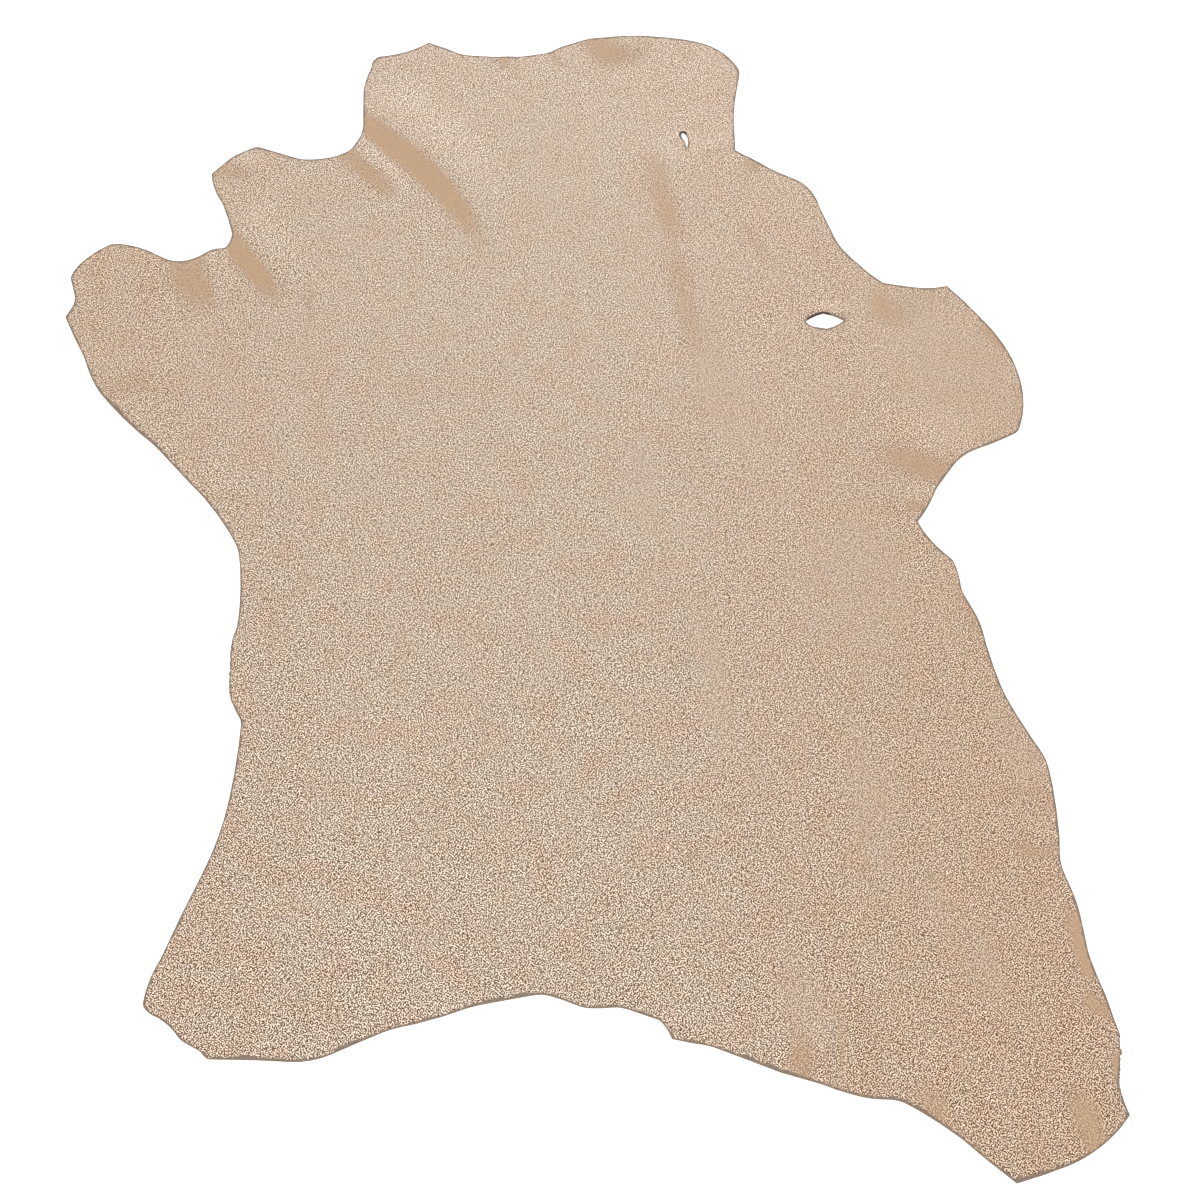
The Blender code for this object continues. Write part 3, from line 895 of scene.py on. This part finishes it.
def make_foil():
    """Make the grain side: foil on the tops of the grain, dyed leather where it is missing."""
    material, tree, shader, place = start_material("champagne_foil")
    relief, tone = press_grain(tree, place)
    bite_and_sheen = find_bite_and_sheen(tree, place)
    flank_shade = read_note(tree, "shaded_flank")
    covered = remap(tree, "where the foil took", relief, COVERED)
    # Painted shade on the ripple flanks that face away from the key panel: tan, no foil, less relief.
    shaded_flank = remap(tree, "never quite smooth", flank_shade, FLANK_SHADE_FADE)
    dark_rim_band = find_dark_rim_band(tree, place)
    scratched = remap(tree, "scratched", find_marks(tree, place, SCRATCHES), SCRATCHED)
    # Painted shadow under the raised lips of the flaws.
    lip_shadow = remap(tree, "dried dark", read_note(tree, "lip_shadow"), LIP_SHADOW_FADE)

    top = colour_foil(tree, place, tone, flank_shade)
    grain = mix_colours(tree, "foil or valley", covered, SHADED_VALLEY_COLOUR, top)
    # Shallow grain and painted sheen both run the grain's colours together.
    grain = mix_colours(tree, "shallow or deep", bite_and_sheen, SHALLOW_AND_SHEENED_GRAIN, grain)
    dye = patches(tree, "dye", place, DYE_PATCH, DYE_DETAIL)
    tan = mix_colours(tree, "tan", dye, DARK_TAN, PALE_TAN)
    colour = mix_colours(tree, "tan where pulled", shaded_flank, grain, tan)
    # Painted shade along the rim, wider where it curls up.
    colour = mix_colours(tree, "bare along the rim", dark_rim_band, colour, RIM_SHADE_COLOUR)
    colour = mix_colours(tree, "bare in a scratch", scratched, colour, SCRATCH_COLOUR)
    colour = mix_colours(tree, "dark lips of the flaws", lip_shadow, colour, LIP_SHADOW_COLOUR)
    tree.links.new(colour, shader.inputs["Base Color"])

    # The foil is gone in a scratch, and left off where shade or shadow is painted.
    bare = calculate(tree, "scratched or hard", "MAXIMUM", scratched, lip_shadow)
    bare = calculate(tree, "or pulled", "MAXIMUM", bare, shaded_flank)
    bare = calculate(tree, "or rubbed", "MAXIMUM", bare, dark_rim_band)
    foiled = calculate(tree, "foil left", "SUBTRACT", 1.0, bare)
    foiled = calculate(tree, "foil on the tops", "MULTIPLY", foiled, covered)
    tree.links.new(calculate(tree, "metal", "MULTIPLY", foiled, FOIL_METALLIC), shader.inputs["Metallic"])
    tree.links.new(remap(tree, "sheen", foiled, SHEEN), shader.inputs["Roughness"])

    height = calculate(tree, "bitten relief", "MULTIPLY", remap(tree, "soft tops", relief, SOFT_TOPS), bite_and_sheen)
    kept = calculate(tree, "grain that is left", "SUBTRACT", 1.0, shaded_flank)
    height = calculate(tree, "relief that is left", "MULTIPLY", height, kept)
    height = calculate(tree, "relief with scratches", "SUBTRACT", height, scratched)
    set_bump(tree, shader, height, GRAIN_HEIGHT)
    return material


foil = make_foil()
print("foil:", len(foil.node_tree.nodes), "nodes")

# %% [markdown]
# ## The flesh side
#
# The underside was next to the flesh. It is shaved and has a short suede nap, duller and paler than the
# grain side, with cloudy patches where the nap lies one way or the other and faint branching veins. Only
# a lifted rim shows it here, but a part is looked at from below as well.

# %% Suede
SUEDE_LIGHT = (0.56, 0.42, 0.3, 1)
SUEDE_DARK = (0.4, 0.285, 0.195, 1)
VEIN_COLOUR = (0.3, 0.2, 0.135, 1)
CLOUD_SIZE, CLOUD_DETAIL, CLOUDS = 34 * MM, 3.0, Fade(0.25, 0.75, 0.0, 0.45)
NAP_SIZE, NAP_DETAIL, NAP_HEIGHT = 0.5 * MM, 2.0, 0.12 * MM
LIGHT_ON_NAP = Fade(0.4, 1.1)
VEIN_SPACING, VEIN_BEND, VEIN_DETAIL = 90 * MM, (50 * MM, 50 * MM, 0.0), 2.0
THIN_VEINS = Fade(0.0, 0.03, 0.45, 0.0)
SUEDE_ROUGHNESS = 0.95
SUEDE_SHEEN, SUEDE_SHEEN_ROUGHNESS = 0.35, 0.4


def draw_veins(tree, place):
    """Return where the veins show: the borders of large cells, bent by a noise."""
    noise = {"Vector": place, "Scale": 1 / CLOUD_SIZE, "Detail": VEIN_DETAIL}
    bend = add_node(tree, "ShaderNodeTexNoise", "bends of the veins", noise).outputs["Color"]
    move = {0: bend, 1: VEIN_BEND, 2: place}
    bent = add_node(tree, "ShaderNodeVectorMath", "bent place", move, operation="MULTIPLY_ADD")
    cells = {"Vector": bent.outputs["Vector"], "Scale": 1 / VEIN_SPACING}
    veins = add_node(
        tree, "ShaderNodeTexVoronoi", "veins", cells, voronoi_dimensions="2D", feature="DISTANCE_TO_EDGE"
    ).outputs["Distance"]
    return remap(tree, "thin veins", veins, THIN_VEINS)


def make_suede():
    """Make the flesh side: short nap, cloudy, with faint veins."""
    material, tree, shader, place = start_material("suede")
    clouds = patches(tree, "clouds", place, CLOUD_SIZE, CLOUD_DETAIL)
    clouds = remap(tree, "nap lies both ways", clouds, CLOUDS)
    nap = patches(tree, "nap", place, NAP_SIZE, NAP_DETAIL)
    light = remap(tree, "light on nap", calculate(tree, "nap over clouds", "ADD", clouds, nap), LIGHT_ON_NAP)
    colour = mix_colours(tree, "suede", light, SUEDE_DARK, SUEDE_LIGHT)
    colour = mix_colours(tree, "veins show", draw_veins(tree, place), colour, VEIN_COLOUR)
    tree.links.new(colour, shader.inputs["Base Color"])
    shader.inputs["Roughness"].default_value = SUEDE_ROUGHNESS
    shader.inputs["Sheen Weight"].default_value = SUEDE_SHEEN
    shader.inputs["Sheen Roughness"].default_value = SUEDE_SHEEN_ROUGHNESS
    set_bump(tree, shader, nap, NAP_HEIGHT)
    return material


suede = make_suede()
print("suede:", len(suede.node_tree.nodes), "nodes")

# %% [markdown]
# ## The cut edge
#
# A knife cut shows the leather's layers: the dense dyed grain layer on top, then paler loose fibres down
# to the flesh side. The note `layer` runs from 0 to 1 through the thickness, so one colour ramp across it
# draws the layers all round the hide, and a stretched noise draws the fibres.

# %% Raw edge
GRAIN_LAYER = (0.2, 0.125, 0.075, 1)
FIBRE_DARK = (0.3, 0.2, 0.125, 1)
FIBRE_LIGHT = (0.48, 0.35, 0.235, 1)
LAYERS = Fade(0.62, 0.8)
FIBRE_SIZE, FIBRE_DETAIL, FIBRE_STRETCH = 0.35 * MM, 2.0, (1, 1, 0.4)
FIBRES = Fade(0.3, 0.7)
EDGE_ROUGHNESS = 0.9


def make_raw_edge():
    """Make the cut edge: dark grain layer over paler fibres, black in the painted shadow at the flaws."""
    material, tree, shader, place = start_material("raw_edge")
    fibres = patches(tree, "fibres", place, FIBRE_SIZE, FIBRE_DETAIL, FIBRE_STRETCH)
    colour = mix_colours(tree, "fibre", remap(tree, "fibre light", fibres, FIBRES), FIBRE_DARK, FIBRE_LIGHT)
    layer = remap(tree, "grain layer", read_note(tree, "layer"), LAYERS)
    colour = mix_colours(tree, "layers", layer, colour, GRAIN_LAYER)
    # Painted shadow at the lips of the flaws, on their cut edge too.
    lip_shadow = remap(tree, "dried dark", read_note(tree, "lip_shadow"), LIP_SHADOW_FADE)
    colour = mix_colours(tree, "dark lips of the flaws", lip_shadow, colour, LIP_SHADOW_COLOUR)
    tree.links.new(colour, shader.inputs["Base Color"])
    shader.inputs["Roughness"].default_value = EDGE_ROUGHNESS
    set_bump(tree, shader, fibres, NAP_HEIGHT)
    return material


raw_edge = make_raw_edge()
print("raw edge:", len(raw_edge.node_tree.nodes), "nodes")

# %% [markdown]
# ## Dressing the hide
#
# All three finishes are on one mesh, because they are one piece of leather. A face that looks up gets
# foil, one that looks down gets suede, and the upright ones of the rim are raw edge. The shading is
# smooth except where the rim turns, where leather is cut square.

# %% Dress the hide
SHARP_TURN = math.radians(40)
FINISHES = (foil, suede, raw_edge)


def dress(mesh):
    """Give each face its finish by the way it looks, and shade the sheet softly with a square rim."""
    mesh.materials.clear()
    for material in FINISHES:
        mesh.materials.append(material)
    for face in mesh.polygons:
        if face.normal.z > UPRIGHT:
            face.material_index = FINISHES.index(foil)
        elif face.normal.z < -UPRIGHT:
            face.material_index = FINISHES.index(suede)
        else:
            face.material_index = FINISHES.index(raw_edge)
    mesh.shade_smooth()
    mesh.set_sharp_from_angle(angle=SHARP_TURN)


dress(sheet_mesh)
hide = bpy.data.objects.new("leather_hide", sheet_mesh)
bpy.context.scene.collection.objects.link(hide)
print("leather hide:", len(sheet_mesh.polygons), "faces,", len(sheet_mesh.materials), "finishes")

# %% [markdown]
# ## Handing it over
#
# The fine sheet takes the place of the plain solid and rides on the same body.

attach(hide, "root")
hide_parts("hide")
